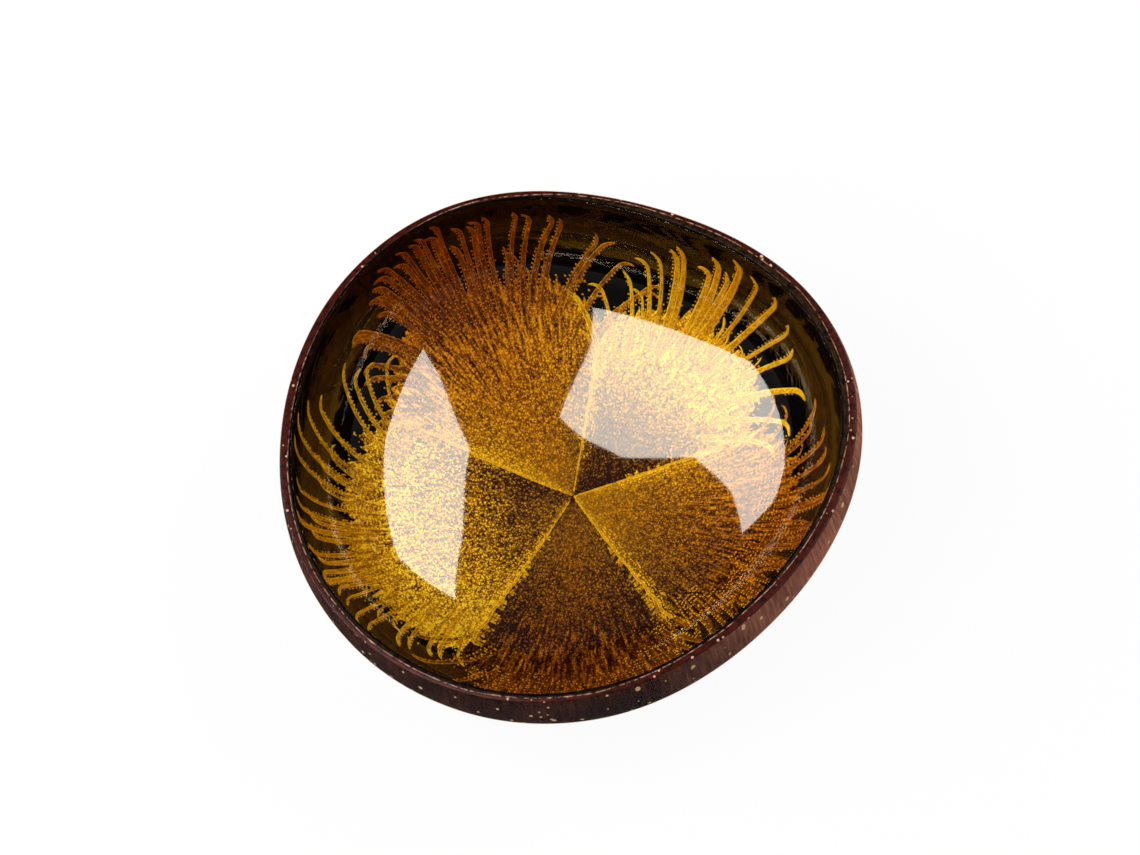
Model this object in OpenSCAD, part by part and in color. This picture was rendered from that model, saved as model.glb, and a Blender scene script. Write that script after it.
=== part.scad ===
// Bowl made from the sawn half of a coconut shell, lacquered inside with poured gold on black.
// Millimetres, +Z up. The origin is the centre of the flat foot, and the long way of the rim lies near X.

/* [Shell] */
// Mean radius of the shell at its widest girth
girth_radius = 65; // [55:0.5:78]
// Height of the widest girth above the table
girth_height = 40; // [34:0.5:44]
// Height of the sawn rim above the table
rim_height = 49.5; // [46:0.5:62]
// How far the rim leans in from the girth
rim_tuck = 1.2; // [0.4:0.1:4]
// Mean radius of the flat that is sanded on the closed end, for the bowl to stand on
foot_radius = 20; // [14:0.5:30]
// Mean wall of the shell at the girth, measured level
wall = 2.2; // [2:0.1:4]
// Extra wall on the thick side of the nut, and as much less on the other side
thick_side = 0.45; // [0:0.05:0.5]
// Extra wall at both ends of the long way, and as much less between them
thick_ends = 0.55; // [0:0.05:0.6]
// Shell that is left under the middle of the cavity
floor_wall = 3.2; // [2:0.1:5]
// Sanded ease on the outer edge of the rim
rim_ease = 0.5; // [0.2:0.1:0.6]

/* [Outline] */
// How far the three ridges of the nut stand out from its mean radius
ridge_swell = 1.8; // [0:0.1:3]
// Direction of the first ridge, in degrees from +X
ridge_turn = -6; // [-60:1:60]
// How far the shell is drawn out along its long way
oval_swell = 1.9; // [0:0.1:3]
// Direction of the long way, in degrees from +X
oval_turn = -9; // [-90:1:90]
// How far the outline is filled out at its four quarters
quarter_swell = 0.6; // [0:0.1:1]
// Direction of the first full quarter, in degrees from +X
quarter_turn = 5; // [-45:1:45]

/* [Coats] */
// Thickness of the clear varnish on the outside and the rim
varnish = 0.15; // [0.1:0.05:0.3]
// Thickness of the black lacquer that seals the cavity
ground_coat = 0.4; // [0.2:0.05:0.8]
// Thickness of the gold paint that is poured on the black
gold_coat = 0.2; // [0.1:0.05:0.4]
// Thickness of the clear lacquer over the gold
clear_coat = 0.6; // [0.3:0.05:1.2]

/* [Gold] */
// Rows by which the gaps between the runs of gold stay behind their tips
run_rows = 2; // [1:1:3]
// Rows by which the runs fall back towards the seams of each pour
seam_rows = 1; // [0:1:2]

/* [Hidden] */
// Strips across each pour, from the seam nearest +X round the bowl
pour_strips = [13, 16, 16, 13, 14];
// Row that the longest runs of each pour reach, counted from the middle of the cavity
pour_tip_rows = [10, 10, 12, 12, 12];
// Rows of facets from the middle of the cavity to the rim, and up the outside from the foot to the rim
cavity_rows = 13;
outside_rows = 12;
// Row of the outside that lies just above the sanded foot, and half the angle down to the row below it
foot_row = 2;
foot_facet = 2;
// How far the sanding reaches past the closed end of the natural shell
overrun = 1;

pour_count = len(pour_strips);
strips = sum_to(pour_strips, pour_count);
strip_turn = 360 / strips;
pour_starts = [for (k = [0 : pour_count]) sum_to(pour_strips, k)];

// Half angles of the natural curve, seen from the level of the girth
foot_angle = acos(foot_radius / girth_radius);
rim_angle = acos((girth_radius - rim_tuck) / girth_radius);

// Depths of the natural curve below and above the girth, for the shell and for its cavity
shell_low = girth_height / sin(foot_angle);
cavity_low = girth_height - floor_wall;
both_high = (rim_height - girth_height) / sin(rim_angle);
ease_angle = asin((rim_height - rim_ease - girth_height) / both_high);

gold_top = ground_coat + gold_coat;
clear_top = gold_top + clear_coat;
ring_points = 1 + cavity_rows * strips;
cut_width = 4 * girth_radius;
cut_depth = shell_low - girth_height + overrun;

function sum_to(list, count) = count == 0 ? 0 : list[count - 1] + sum_to(list, count - 1);

function unit(v) = v / norm(v);

// Outline of the nut at its girth, and the wall inside it
function outline(turn) =
    girth_radius
    + ridge_swell * cos(3 * (turn - ridge_turn))
    + oval_swell * cos(2 * (turn - oval_turn))
    + quarter_swell * cos(4 * (turn - quarter_turn));

function wall_at(turn) = wall + thick_side * cos(turn) + thick_ends * cos(2 * turn);

// Point on an egg-shaped curve of half width a and half depth b, lifted inwards square to the curve
function curve_point(turn, angle, a, b, lift) =
    let (
        square = unit([cos(angle) / a, sin(angle) / b]),
        reach = a * cos(angle) - lift * square.x,
        height = girth_height + b * sin(angle) - lift * square.y
    )
    [reach * cos(turn), reach * sin(turn), height];

// Point of the cavity at a strip line and a row, lifted off the wall by the coats under it
function cavity_point(strip, row, lift) =
    let (
        turn = strip * strip_turn,
        angle = -90 + row * (90 + rim_angle) / cavity_rows
    )
    curve_point(turn, angle, outline(turn) - wall_at(turn), angle < 0 ? cavity_low : both_high, lift);

// Angles of the rows on the outside: the closed end, two close rows that the foot is sanded
// between, and even rows up to the eased edge of the rim
function outside_angle(row) =
    let (
        start = foot_facet - foot_angle,
        step = (ease_angle - start) / (outside_rows - foot_row)
    )
    row == 0 ? -90
    : row < foot_row ? -foot_facet - foot_angle
    : start + (row - foot_row) * step;

// Point of the outside at a strip line and a row, moved out by a film of varnish
function outside_point(strip, row, film) =
    let (
        turn = strip * strip_turn,
        angle = outside_angle(row)
    )
    curve_point(turn, angle, outline(turn), angle < 0 ? shell_low : both_high, -film);

// Point where the eased edge meets the sawn face of the rim
function ease_point(strip, film) =
    let (
        turn = strip * strip_turn,
        reach = outline(turn) * cos(ease_angle) - rim_ease
    )
    [reach * cos(turn), reach * sin(turn), rim_height + film];

// All points of one coat's surface, the middle of the cavity first and then row by row
function cavity_points(lift) = concat(
    [cavity_point(0, 0, lift)],
    [for (row = [1 : cavity_rows], strip = [0 : strips - 1]) cavity_point(strip, row, lift)]
);

// Number of a point in such a list, where row 0 is the one point in the middle
function at(strip, row) = row == 0 ? 0 : 1 + (row - 1) * strips + strip % strips;

function shifted(face, first) = [for (p = face) p + first];

function turned(faces) = [for (face = faces) [for (p = [len(face) - 1 : -1 : 0]) face[p]]];

// Faces are listed counter-clockwise as seen from outside their solid, and turned for polyhedron.
// Two facets of one cell of a surface, or one facet at the middle, which face into the bowl
function cell(strip, row, first) =
    row == 0
    ? [shifted([at(strip, 0), at(strip, 1), at(strip + 1, 1)], first)]
    : [
        shifted([at(strip, row), at(strip, row + 1), at(strip + 1, row + 1)], first),
        shifted([at(strip, row), at(strip + 1, row + 1), at(strip + 1, row)], first)
    ];

// Two facets between a line of one surface and the same line of the surface first_b above it
function bridge(p, q, first_a, first_b) = [
    [p + first_a, q + first_a, q + first_b],
    [p + first_a, q + first_b, p + first_b]
];

function joined(lists) = [for (list = lists, item = list) item];

// Cells of the strips from one number up to another, between two rows
function field(from, to, row_from, row_to, first) = joined(
    [for (strip = [from : to - 1], row = [row_from : row_to - 1]) cell(strip, row, first)]
);

// Facets that close two surfaces along the rim
function rim_band(first_a, first_b) = joined(
    [for (strip = [0 : strips - 1])
        bridge(at(strip, cavity_rows), at(strip + 1, cavity_rows), first_a, first_b)]
);

// The pour that a strip is in, and the row that the gold on that strip reaches
function pour_of(strip) = max([for (k = [0 : pour_count - 1]) if (pour_starts[k] <= strip % strips) k]);

function gold_reach(strip) =
    let (
        k = pour_of(strip),
        place = strip % strips - pour_starts[k],
        middle = (pour_strips[k] - 1) / 2,
        fall = round(seam_rows * pow((place - middle) / middle, 2))
    )
    pour_tip_rows[k] - fall - (place % 2 == 0 ? run_rows : 0);

// Facets that stand on the ground along the end of the gold on one strip
function run_end(strip, first_a, first_b) =
    let (row = gold_reach(strip))
    bridge(at(strip, row), at(strip + 1, row), first_a, first_b);

// Facets that stand along a strip line between two rows
function run_side(line, row_from, row_to, first_a, first_b) =
    row_from >= row_to ? []
    : joined([for (row = [row_from : row_to - 1])
        bridge(at(line, row), at(line, row + 1), first_a, first_b)]);

// Facets along the lines where one strip of gold reaches further than the next
function run_sides(from, to, first_a, first_b) = joined(
    [for (line = [from : to - 1])
        let (
            before = gold_reach(line + strips - 1),
            after = gold_reach(line)
        )
        concat(
            run_side(line, before, after, first_a, first_b),
            turned(run_side(line, after, before, first_a, first_b))
        )]
);

// The natural shell: outside, eased edge, sawn rim and cavity. Its closed end is sanded flat.
module coconut_shell() {
    inside = 1 + outside_rows * strips;
    ease = inside + ring_points;
    points = concat(
        [outside_point(0, 0, 0)],
        [for (row = [1 : outside_rows], strip = [0 : strips - 1]) outside_point(strip, row, 0)],
        cavity_points(0),
        [for (strip = [0 : strips - 1]) ease_point(strip, 0)]
    );
    edge = at(0, outside_rows);
    rim = inside + at(0, cavity_rows);
    faces = concat(
        turned(field(0, strips, 0, outside_rows, 0)),
        field(0, strips, 0, cavity_rows, inside),
        joined([for (strip = [0 : strips - 1])
            let (next = (strip + 1) % strips)
            concat(bridge(strip, next, edge, ease), bridge(strip, next, ease, rim))])
    );
    color("#4a2415")
        difference() {
            polyhedron(points, turned(faces));
            translate([-cut_width / 2, -cut_width / 2, -cut_depth])
                cube([cut_width, cut_width, cut_depth]);
        }
}

// Thin clear film over the outside and the sawn rim, from just above the sanded foot
module outer_varnish() {
    rows = outside_rows - foot_row + 3;
    film_points = function (film) concat(
        [for (row = [foot_row : outside_rows], strip = [0 : strips - 1]) outside_point(strip, row, film)],
        [for (strip = [0 : strips - 1]) ease_point(strip, film)],
        [for (strip = [0 : strips - 1]) cavity_point(strip, cavity_rows, 0) + [0, 0, film]]
    );
    film = rows * strips;
    level = joined([for (row = [1 : rows - 1], strip = [0 : strips - 1])
        bridge(strip, (strip + 1) % strips, (row - 1) * strips, row * strips)]);
    ends = function (row) joined([for (strip = [0 : strips - 1])
        bridge(strip, (strip + 1) % strips, row * strips, row * strips + film)]);
    faces = concat(
        turned(level),
        [for (face = level) shifted(face, film)],
        ends(0),
        turned(ends(rows - 1))
    );
    color("#b98a6a", 0.4)
        polyhedron(concat(film_points(0), film_points(varnish)), turned(faces));
}

// Black lacquer that seals the cavity from the middle to the rim
module black_ground() {
    faces = concat(
        turned(field(0, strips, 0, cavity_rows, 0)),
        field(0, strips, 0, cavity_rows, ring_points),
        rim_band(0, ring_points)
    );
    color("#1a120c")
        polyhedron(concat(cavity_points(0), cavity_points(ground_coat)), turned(faces));
}

// One pour of gold paint, which spreads from the middle and ends in runs of unlike length
module gold_pour(k) {
    from = pour_starts[k];
    to = pour_starts[k + 1];
    level = [for (strip = [from : to - 1]) field(strip, strip + 1, 0, gold_reach(strip), 0)];
    faces = concat(
        turned(joined(level)),
        [for (face = joined(level)) shifted(face, ring_points)],
        joined([for (strip = [from : to - 1]) run_end(strip, 0, ring_points)]),
        run_sides(from + 1, to, 0, ring_points),
        run_side(from, 0, gold_reach(from), 0, ring_points),
        turned(run_side(to, 0, gold_reach(to - 1), 0, ring_points))
    );
    color("#b8860b")
        polyhedron(concat(cavity_points(ground_coat), cavity_points(gold_top)), turned(faces));
}

// Thick clear lacquer that levels the gold and the black between its runs
module clear_topcoat() {
    over_gold = ring_points;
    surface = 2 * ring_points;
    under = [for (strip = [0 : strips - 1]) concat(
        field(strip, strip + 1, 0, gold_reach(strip), over_gold),
        field(strip, strip + 1, gold_reach(strip), cavity_rows, 0)
    )];
    walls = concat(
        joined([for (strip = [0 : strips - 1]) run_end(strip, 0, over_gold)]),
        run_sides(0, strips, 0, over_gold)
    );
    faces = concat(
        turned(joined(under)),
        turned(walls),
        field(0, strips, 0, cavity_rows, surface),
        rim_band(0, surface)
    );
    color("#fff4dc", 0.3)
        polyhedron(
            concat(cavity_points(ground_coat), cavity_points(gold_top), cavity_points(clear_top)),
            turned(faces)
        );
}

coconut_shell();
outer_varnish();
black_ground();
for (k = [0 : pour_count - 1])
    gold_pour(k);
clear_topcoat();
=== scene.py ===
import math
import random

import bmesh
import bpy
from mathutils import Matrix, Vector, noise


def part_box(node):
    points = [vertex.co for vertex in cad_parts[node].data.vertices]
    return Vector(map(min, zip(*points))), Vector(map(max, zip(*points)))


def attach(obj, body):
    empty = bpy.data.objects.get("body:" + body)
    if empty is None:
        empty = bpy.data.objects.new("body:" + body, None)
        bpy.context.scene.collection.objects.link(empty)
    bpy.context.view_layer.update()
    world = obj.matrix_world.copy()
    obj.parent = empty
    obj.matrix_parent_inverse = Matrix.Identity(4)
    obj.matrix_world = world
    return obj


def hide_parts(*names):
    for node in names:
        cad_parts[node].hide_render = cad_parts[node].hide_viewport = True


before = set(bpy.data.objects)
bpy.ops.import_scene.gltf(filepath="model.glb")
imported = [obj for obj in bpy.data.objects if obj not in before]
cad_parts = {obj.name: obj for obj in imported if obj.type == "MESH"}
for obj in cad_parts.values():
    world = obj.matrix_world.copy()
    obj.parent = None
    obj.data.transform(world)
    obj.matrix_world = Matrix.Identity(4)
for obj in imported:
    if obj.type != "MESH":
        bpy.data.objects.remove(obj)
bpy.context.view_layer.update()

# Coconut shell
# The hard shell of the nut, sawn level at the rim and sanded flat at its closed end to stand on.
# The outside is polished and keeps the pale ends of husk fibres; the sawn edge is darker and redder.

MM = 0.001
shell_low, shell_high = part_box("coconut_shell")
rim_height = shell_high[2]
floor_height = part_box("black_ground")[0][2]
girth_height = 40 * MM
rim_tuck = 1.2 * MM
rim_ease = 0.5 * MM
bore_ease = 0.25 * MM
foot_radius = 20 * MM
wall, thick_side, thick_ends = 2.2 * MM, 0.45 * MM, 0.55 * MM
ridge_swell, ridge_turn = 1.8 * MM, math.radians(-6)
oval_swell, oval_turn = 1.9 * MM, math.radians(-9)
quarter_swell, quarter_turn = 0.6 * MM, math.radians(5)
hollow_depth, hollows_round = 0.12 * MM, 3
around, rows_outside, rows_inside = 288, 56, 72
ease_steps = [math.radians(d) for d in (22, 45, 68, 90)]
bottom = -math.pi / 2


def swell(turn):
    """How far the nut stands out from its mean radius: three ridges, a long way and four quarters."""
    return (
        ridge_swell * math.cos(3 * (turn - ridge_turn))
        + oval_swell * math.cos(2 * (turn - oval_turn))
        + quarter_swell * math.cos(4 * (turn - quarter_turn))
    )


girth_radius = (shell_high[0] - shell_low[0] - swell(0) - swell(math.pi)) / 2
foot_angle = math.acos(foot_radius / girth_radius)
rim_angle = math.acos(1 - rim_tuck / girth_radius)
outside_depth = girth_height / math.sin(foot_angle)
cavity_depth = girth_height - floor_height
rise = (rim_height - girth_height) / math.sin(rim_angle)
ease_angle = math.asin((rim_height - rim_ease - girth_height) / rise)
turns = [2 * math.pi * k / around for k in range(around)]


def curve_point(turn, angle, half_width, half_depth, lift):
    """Point of an egg-shaped curve, lifted inwards square to it."""
    square = Vector((math.cos(angle) / half_width, math.sin(angle) / half_depth)).normalized()
    reach = half_width * math.cos(angle) - lift * square.x
    height = girth_height + half_depth * math.sin(angle) - lift * square.y
    return Vector((reach * math.cos(turn), reach * math.sin(turn), height))


def outside_point(turn, angle, film):
    """Point of the outside, raised by a film of varnish and sunk a little by a nut's slow hollows."""
    spot = Vector((math.cos(turn), math.sin(turn), math.sin(angle)))
    hollow = hollow_depth * (1 + noise.noise(hollows_round * spot))
    depth = outside_depth if angle < 0 else rise
    return curve_point(turn, angle, girth_radius + swell(turn), depth, hollow - film)


def cavity_point(turn, angle, lift):
    """Point of the cavity, lifted off the wall by the coats under it."""
    bore = wall + thick_side * math.cos(turn) + thick_ends * math.cos(2 * turn)
    depth = cavity_depth if angle < 0 else rise
    return curve_point(turn, angle, girth_radius + swell(turn) - bore, depth, lift)


def spread(low, high, count):
    """Evenly spaced values from low to high."""
    return [low + (high - low) * k / (count - 1) for k in range(count)]


def rim_rings(film):
    """Rings from the eased outer edge of the rim, over the sawn face, to the edge of the cavity."""
    rings = []
    for a in ease_steps:
        ring = []
        for turn in turns:
            edge = outside_point(turn, ease_angle, film)
            out = Vector((math.cos(turn), math.sin(turn), 0))
            climb = Vector((0, 0, rim_ease * math.sin(a)))
            ring.append(edge - out * rim_ease * (1 - math.cos(a)) + climb)
        rings.append(ring)
    for a in ease_steps[::-1]:
        ring = []
        for turn in turns:
            edge = cavity_point(turn, rim_angle, 0)
            out = Vector((math.cos(turn), math.sin(turn), 0))
            drop = bore_ease * (1 - math.sin(a))
            ring.append(edge + out * bore_ease * (1 - math.cos(a)) + Vector((0, 0, film - drop)))
        rings.append(ring)
    return rings


def new_piece(name, points, faces):
    """One smooth mesh object with its faces turned outwards."""
    mesh = bpy.data.meshes.new(name)
    mesh.from_pydata(points, [], faces)
    form = bmesh.new()
    form.from_mesh(mesh)
    bmesh.ops.recalc_face_normals(form, faces=form.faces)
    for face in form.faces:
        face.smooth = True
    form.to_mesh(mesh)
    form.free()
    piece = bpy.data.objects.new(name, mesh)
    bpy.context.scene.collection.objects.link(piece)
    return piece


def lofted(name, rings, looped=False):
    """Mesh over rings of points; a ring of one point closes an end, looped joins last to first."""
    points, faces, starts = [], [], []
    for ring in rings:
        starts.append((len(points), len(ring)))
        points += ring
    pairs = list(zip(starts, starts[1:])) + ([(starts[-1], starts[0])] if looped else [])
    for (a, count_a), (b, count_b) in pairs:
        count = max(count_a, count_b)
        for i in range(count):
            j = (i + 1) % count
            corners = (a + i % count_a, a + j % count_a, b + j % count_b, b + i % count_b)
            faces.append(tuple(dict.fromkeys(corners)))
    return new_piece(name, points, faces)


def srgb(text):
    """Linear colour of a hex value such as 4a2415."""
    parts = [int(text[k:k + 2], 16) / 255 for k in (0, 2, 4)]
    return [p / 12.92 if p <= 0.04045 else ((p + 0.055) / 1.055) ** 2.4 for p in parts] + [1.0]


def add(tree, kind, inputs=None, stops=None, **settings):
    """Adds a node: inputs maps sockets to values or other nodes' outputs, stops fill a colour ramp."""
    node = tree.nodes.new("ShaderNode" + kind)
    for key, value in settings.items():
        setattr(node, key, value)
    for key, value in (inputs or {}).items():
        if isinstance(value, bpy.types.NodeSocket):
            tree.links.new(value, node.inputs[key])
        else:
            node.inputs[key].default_value = value
    for k, (place, colour) in enumerate(stops or []):
        marks = node.color_ramp.elements
        mark = marks[k] if k < 2 else marks.new(place)
        mark.position = place
        mark.color = colour
    return node


def new_material(name):
    """Empty material; returns it with its node tree and output."""
    material = bpy.data.materials.new(name)
    material.use_nodes = True
    tree = material.node_tree
    tree.nodes.clear()
    return material, tree, add(tree, "OutputMaterial")


# Polished coconut shell: dark red-brown, streaked along the nut by its fibres, with cream fibre ends as
# flecks. The fibres are drawn wider than real ones, so that they show.
shell_dark, shell_mid, shell_light = srgb("160806"), srgb("28110c"), srgb("43251d")
lit_side_dark, lit_side_mid, lit_side_light = srgb("5e392e"), srgb("8a5949"), srgb("a8705e")
lit_side_turn = math.radians(-22)
lit_side = (math.cos(lit_side_turn), math.sin(lit_side_turn), 0)
lit_side_from, lit_side_full = 0.45, 0.97
tone_low, tone_mid, tone_high = 0.36, 0.5, 0.62
fibre_width, fibre_length, fibre_depth = 0.7 * MM, 9 * MM, 0.05 * MM
cloud_size, cloud_share = 14 * MM, 0.45
fleck_cream = srgb("d9b98e")
fleck_spacing, fleck_drawn_up = 2.2 * MM, (1.0, 1.0, 0.6)
fleck_none, fleck_largest, fleck_edge, fleck_cover = 0.3, 0.32, 0.05, 0.9

polished_shell, tree, output = new_material("polished coconut shell")
place = add(tree, "TexCoord").outputs["Object"]
apart = add(tree, "SeparateXYZ", {0: place})
level = add(tree, "CombineXYZ", {0: apart.outputs[0], 1: apart.outputs[1]})
heading = add(tree, "VectorMath", {0: level.outputs[0]}, operation="NORMALIZE")
# Along the fibres the pattern is stretched: round the nut it is set by direction, up the nut by height.
round_nut = add(tree, "VectorMath", {0: heading.outputs[0], "Scale": girth_radius / fibre_width},
                operation="SCALE")
up_nut = add(tree, "Math", {0: apart.outputs[2], 1: 1 / fibre_length}, operation="MULTIPLY")
up_nut_vector = add(tree, "CombineXYZ", {2: up_nut.outputs[0]})
fibre_place = add(tree, "VectorMath", {0: round_nut.outputs[0], 1: up_nut_vector.outputs[0]},
                  operation="ADD")
fibres = add(tree, "TexNoise", {"Vector": fibre_place.outputs[0], "Scale": 1.0, "Detail": 4.0,
                                "Roughness": 0.6})
clouds = add(tree, "TexNoise", {"Vector": place, "Scale": 1 / cloud_size, "Detail": 3.0})
tone = add(tree, "Mix", {0: cloud_share, 2: fibres.outputs["Fac"], 3: clouds.outputs["Fac"]},
           data_type="FLOAT")
shell_tone = add(tree, "ValToRGB", {0: tone.outputs[0]},
                 stops=[(tone_low, shell_dark), (tone_high, shell_light), (tone_mid, shell_mid)])
# One side of the nut is painted paler than the rest: painted light and sheen on the side towards the right
# softbox.
# A map range takes a value (0) from one pair of ends (1 and 2) to another (3 and 4, or else 0 to 1).
lit_side_tone = add(tree, "ValToRGB", {0: tone.outputs[0]},
                stops=[(tone_low, lit_side_dark), (tone_high, lit_side_light), (tone_mid, lit_side_mid)])
towards_lit_side = add(tree, "VectorMath", {0: heading.outputs[0], 1: lit_side}, operation="DOT_PRODUCT")
lit_side_share = add(tree, "MapRange", {0: towards_lit_side.outputs["Value"], 1: lit_side_from, 2: lit_side_full})
nut_tone = add(tree, "Mix", {0: lit_side_share.outputs[0], 6: shell_tone.outputs[0], 7: lit_side_tone.outputs[0]},
               data_type="RGBA")
# Flecks: one in each cell of a stretched cell pattern, of unlike size, and none in some cells.
fleck_place = add(tree, "VectorMath", {0: place, 1: fleck_drawn_up}, operation="MULTIPLY")
flecks = add(tree, "TexVoronoi", {"Vector": fleck_place.outputs[0], "Scale": 1 / fleck_spacing})
chance = add(tree, "SeparateColor", {0: flecks.outputs["Color"]})
fleck_size = add(tree, "MapRange", {0: chance.outputs[0], 1: fleck_none, 2: 1.0,
                                    3: 0.0, 4: fleck_largest})
fleck_near = add(tree, "Math", {0: fleck_size.outputs[0], 1: flecks.outputs["Distance"]},
                 operation="SUBTRACT")
fleck_mask = add(tree, "MapRange", {0: fleck_near.outputs[0], 1: 0.0, 2: fleck_edge,
                                    3: 0.0, 4: fleck_cover})
shell_colour = add(tree, "Mix", {0: fleck_mask.outputs[0], 6: nut_tone.outputs[2], 7: fleck_cream},
                   data_type="RGBA")
pores = add(tree, "Bump", {"Height": fibres.outputs["Fac"], "Strength": 0.3, "Distance": fibre_depth})
surface = add(tree, "BsdfPrincipled", {"Base Color": shell_colour.outputs[2], "Roughness": 0.55,
                                       "Specular IOR Level": 0.0, "Normal": pores.outputs[0]})
tree.links.new(surface.outputs[0], output.inputs[0])

# Sawn coconut shell: the cut through the wall, close and dark red, with pale nicks where fibres tore.
# The cavity's black lacquer laps over its inner part; along the lacquer's edge a broken pale hairline is a
# painted glint.
sawn_dark, sawn_red, nick_cream = srgb("1e0906"), srgb("4e1a10"), srgb("e0c0a8")
lap_black, lap_brown, glint_pale = srgb("0c0603"), srgb("30200c"), srgb("c8a094")
saw_grain, saw_depth = 1.6 * MM, 0.05 * MM
nick_spacing, nick_none, nick_largest, nick_edge, nick_cover = 1.3 * MM, 0.6, 0.36, 0.08, 0.85
glint_width, lap_blur = 0.16 * MM, 0.05 * MM
glint_break_size, glint_break_from, glint_break_full = 1.1 * MM, 0.42, 0.62

sawn_shell, tree, output = new_material("sawn coconut shell")
place = add(tree, "TexCoord").outputs["Object"]
grain = add(tree, "TexNoise", {"Vector": place, "Scale": 1 / saw_grain, "Detail": 4.0, "Roughness": 0.65})
sawn_tone = add(tree, "ValToRGB", {0: grain.outputs["Fac"]}, stops=[(0.35, sawn_dark), (0.68, sawn_red)])
nicks = add(tree, "TexVoronoi", {"Vector": place, "Scale": 1 / nick_spacing})
chance = add(tree, "SeparateColor", {0: nicks.outputs["Color"]})
nick_size = add(tree, "MapRange", {0: chance.outputs[0], 1: nick_none, 2: 1.0, 3: 0.0, 4: nick_largest})
nick_near = add(tree, "Math", {0: nick_size.outputs[0], 1: nicks.outputs["Distance"]},
                operation="SUBTRACT")
nick_mask = add(tree, "MapRange", {0: nick_near.outputs[0], 1: 0.0, 2: nick_edge, 3: 0.0, 4: nick_cover})
sawn_colour = add(tree, "Mix", {0: nick_mask.outputs[0], 6: sawn_tone.outputs[0], 7: nick_cream},
                  data_type="RGBA")
past_line = add(tree, "Attribute", attribute_name="lap")
lacquered = add(tree, "MapRange", {0: past_line.outputs["Fac"], 1: -lap_blur, 2: lap_blur})
lap_tone = add(tree, "ValToRGB", {0: grain.outputs["Fac"]}, stops=[(0.4, lap_black), (0.6, lap_brown)])
lapped = add(tree, "Mix", {0: lacquered.outputs[0], 6: sawn_colour.outputs[2], 7: lap_tone.outputs[0]},
             data_type="RGBA")
# A painted glint: a thin pale line along the edge of the lacquer, broken up by noise.
from_line = add(tree, "Math", {0: past_line.outputs["Fac"]}, operation="ABSOLUTE")
on_glint = add(tree, "MapRange", {0: from_line.outputs[0], 1: 0.0, 2: glint_width, 3: 1.0, 4: 0.0})
glint_breaks = add(tree, "TexNoise", {"Vector": place, "Scale": 1 / glint_break_size, "Detail": 3.0})
glint_broken = add(tree, "MapRange", {0: glint_breaks.outputs["Fac"], 1: glint_break_from, 2: glint_break_full})
glint_mask = add(tree, "Math", {0: on_glint.outputs[0], 1: glint_broken.outputs[0]}, operation="MULTIPLY")
rim_colour = add(tree, "Mix", {0: glint_mask.outputs[0], 6: lapped.outputs[2], 7: glint_pale},
                 data_type="RGBA")
saw_marks = add(tree, "Bump", {"Height": grain.outputs["Fac"], "Strength": 0.4, "Distance": saw_depth})
surface = add(tree, "BsdfPrincipled", {"Base Color": rim_colour.outputs[2], "Roughness": 0.5,
                                       "Specular IOR Level": 0.0, "Normal": saw_marks.outputs[0]})
tree.links.new(surface.outputs[0], output.inputs[0])

outside_angles = spread(-foot_angle, ease_angle, rows_outside)
cavity_angles = spread(bottom, rim_angle, rows_inside)
foot_shares = (0.4, 0.8, 0.985)


def foot_ring(share):
    """Ring of the sanded foot, level with the table."""
    ring = [outside_point(turn, -foot_angle, 0) for turn in turns]
    return [Vector((p.x * share, p.y * share, 0)) for p in ring]


shell_rings = (
    [[Vector((0, 0, 0))]]
    + [foot_ring(share) for share in foot_shares]
    + [[outside_point(turn, angle, 0) for turn in turns] for angle in outside_angles[1:]]
    + rim_rings(0)
    + [[cavity_point(turn, angle, 0) for turn in turns] for angle in cavity_angles[-2:0:-1]]
    + [[cavity_point(0, bottom, 0)]]
)
coconut_shell = lofted("coconut_shell_visual", shell_rings)
coconut_shell.data.materials.append(polished_shell)
coconut_shell.data.materials.append(sawn_shell)
# The saw's cut is what lies level, close under the top of the rim.
sawn_from, sawn_level = rim_height - 0.6 * rim_ease, 0.5
for face in coconut_shell.data.polygons:
    if face.center.z > sawn_from and face.normal.z > sawn_level:
        face.material_index = 1
# How far each point of the rim lies past the line where the lacquer ends, counted from the outer edge.
bare_rim, bare_change, bare_turn = 1.4 * MM, 0.5 * MM, math.radians(-27)
bare_wander, bare_waves = 0.35 * MM, 5
lap = coconut_shell.data.attributes.new("lap", "FLOAT", "POINT")
for point, mark in zip(coconut_shell.data.vertices, lap.data):
    turn = math.atan2(point.co.y, point.co.x)
    edge = outside_point(turn, ease_angle, 0)
    inwards = math.hypot(edge.x, edge.y) - math.hypot(point.co.x, point.co.y)
    wander = bare_wander * noise.noise(Vector((math.cos(turn), math.sin(turn), 0)) * bare_waves)
    mark.value = inwards - bare_rim - bare_change * math.cos(2 * (turn - bare_turn)) - wander
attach(coconut_shell, "root")
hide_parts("coconut_shell")

# Outer varnish
# A thin clear film, brushed over the outside and the sawn rim and rubbed to a soft gloss.
# It stops just above the sanded foot.

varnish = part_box("outer_varnish")[1][2] - rim_height
varnish_seat = 0.04 * MM
varnish_stop = math.radians(2)
varnish_angles = spread(-foot_angle + varnish_stop, ease_angle, rows_outside)


def varnish_rings(film):
    """Rings of the film from above the foot, up the outside and over the rim."""
    outside = [[outside_point(turn, angle, film) for turn in turns] for angle in varnish_angles]
    return outside + rim_rings(film)


# Clear varnish: a soft gloss over the shell, a little uneven from brushing.
varnish_tint = srgb("fdf6ee")
ripple_size, ripple_depth = 3 * MM, 0.1 * MM
# What a clear coat mirrors where it faces the eye, and how much of that is drawn there and at a graze.
clear_ior, straight_on = 1.5, 0.04
varnish_mirror, varnish_graze = 0.015, 0.04

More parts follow.
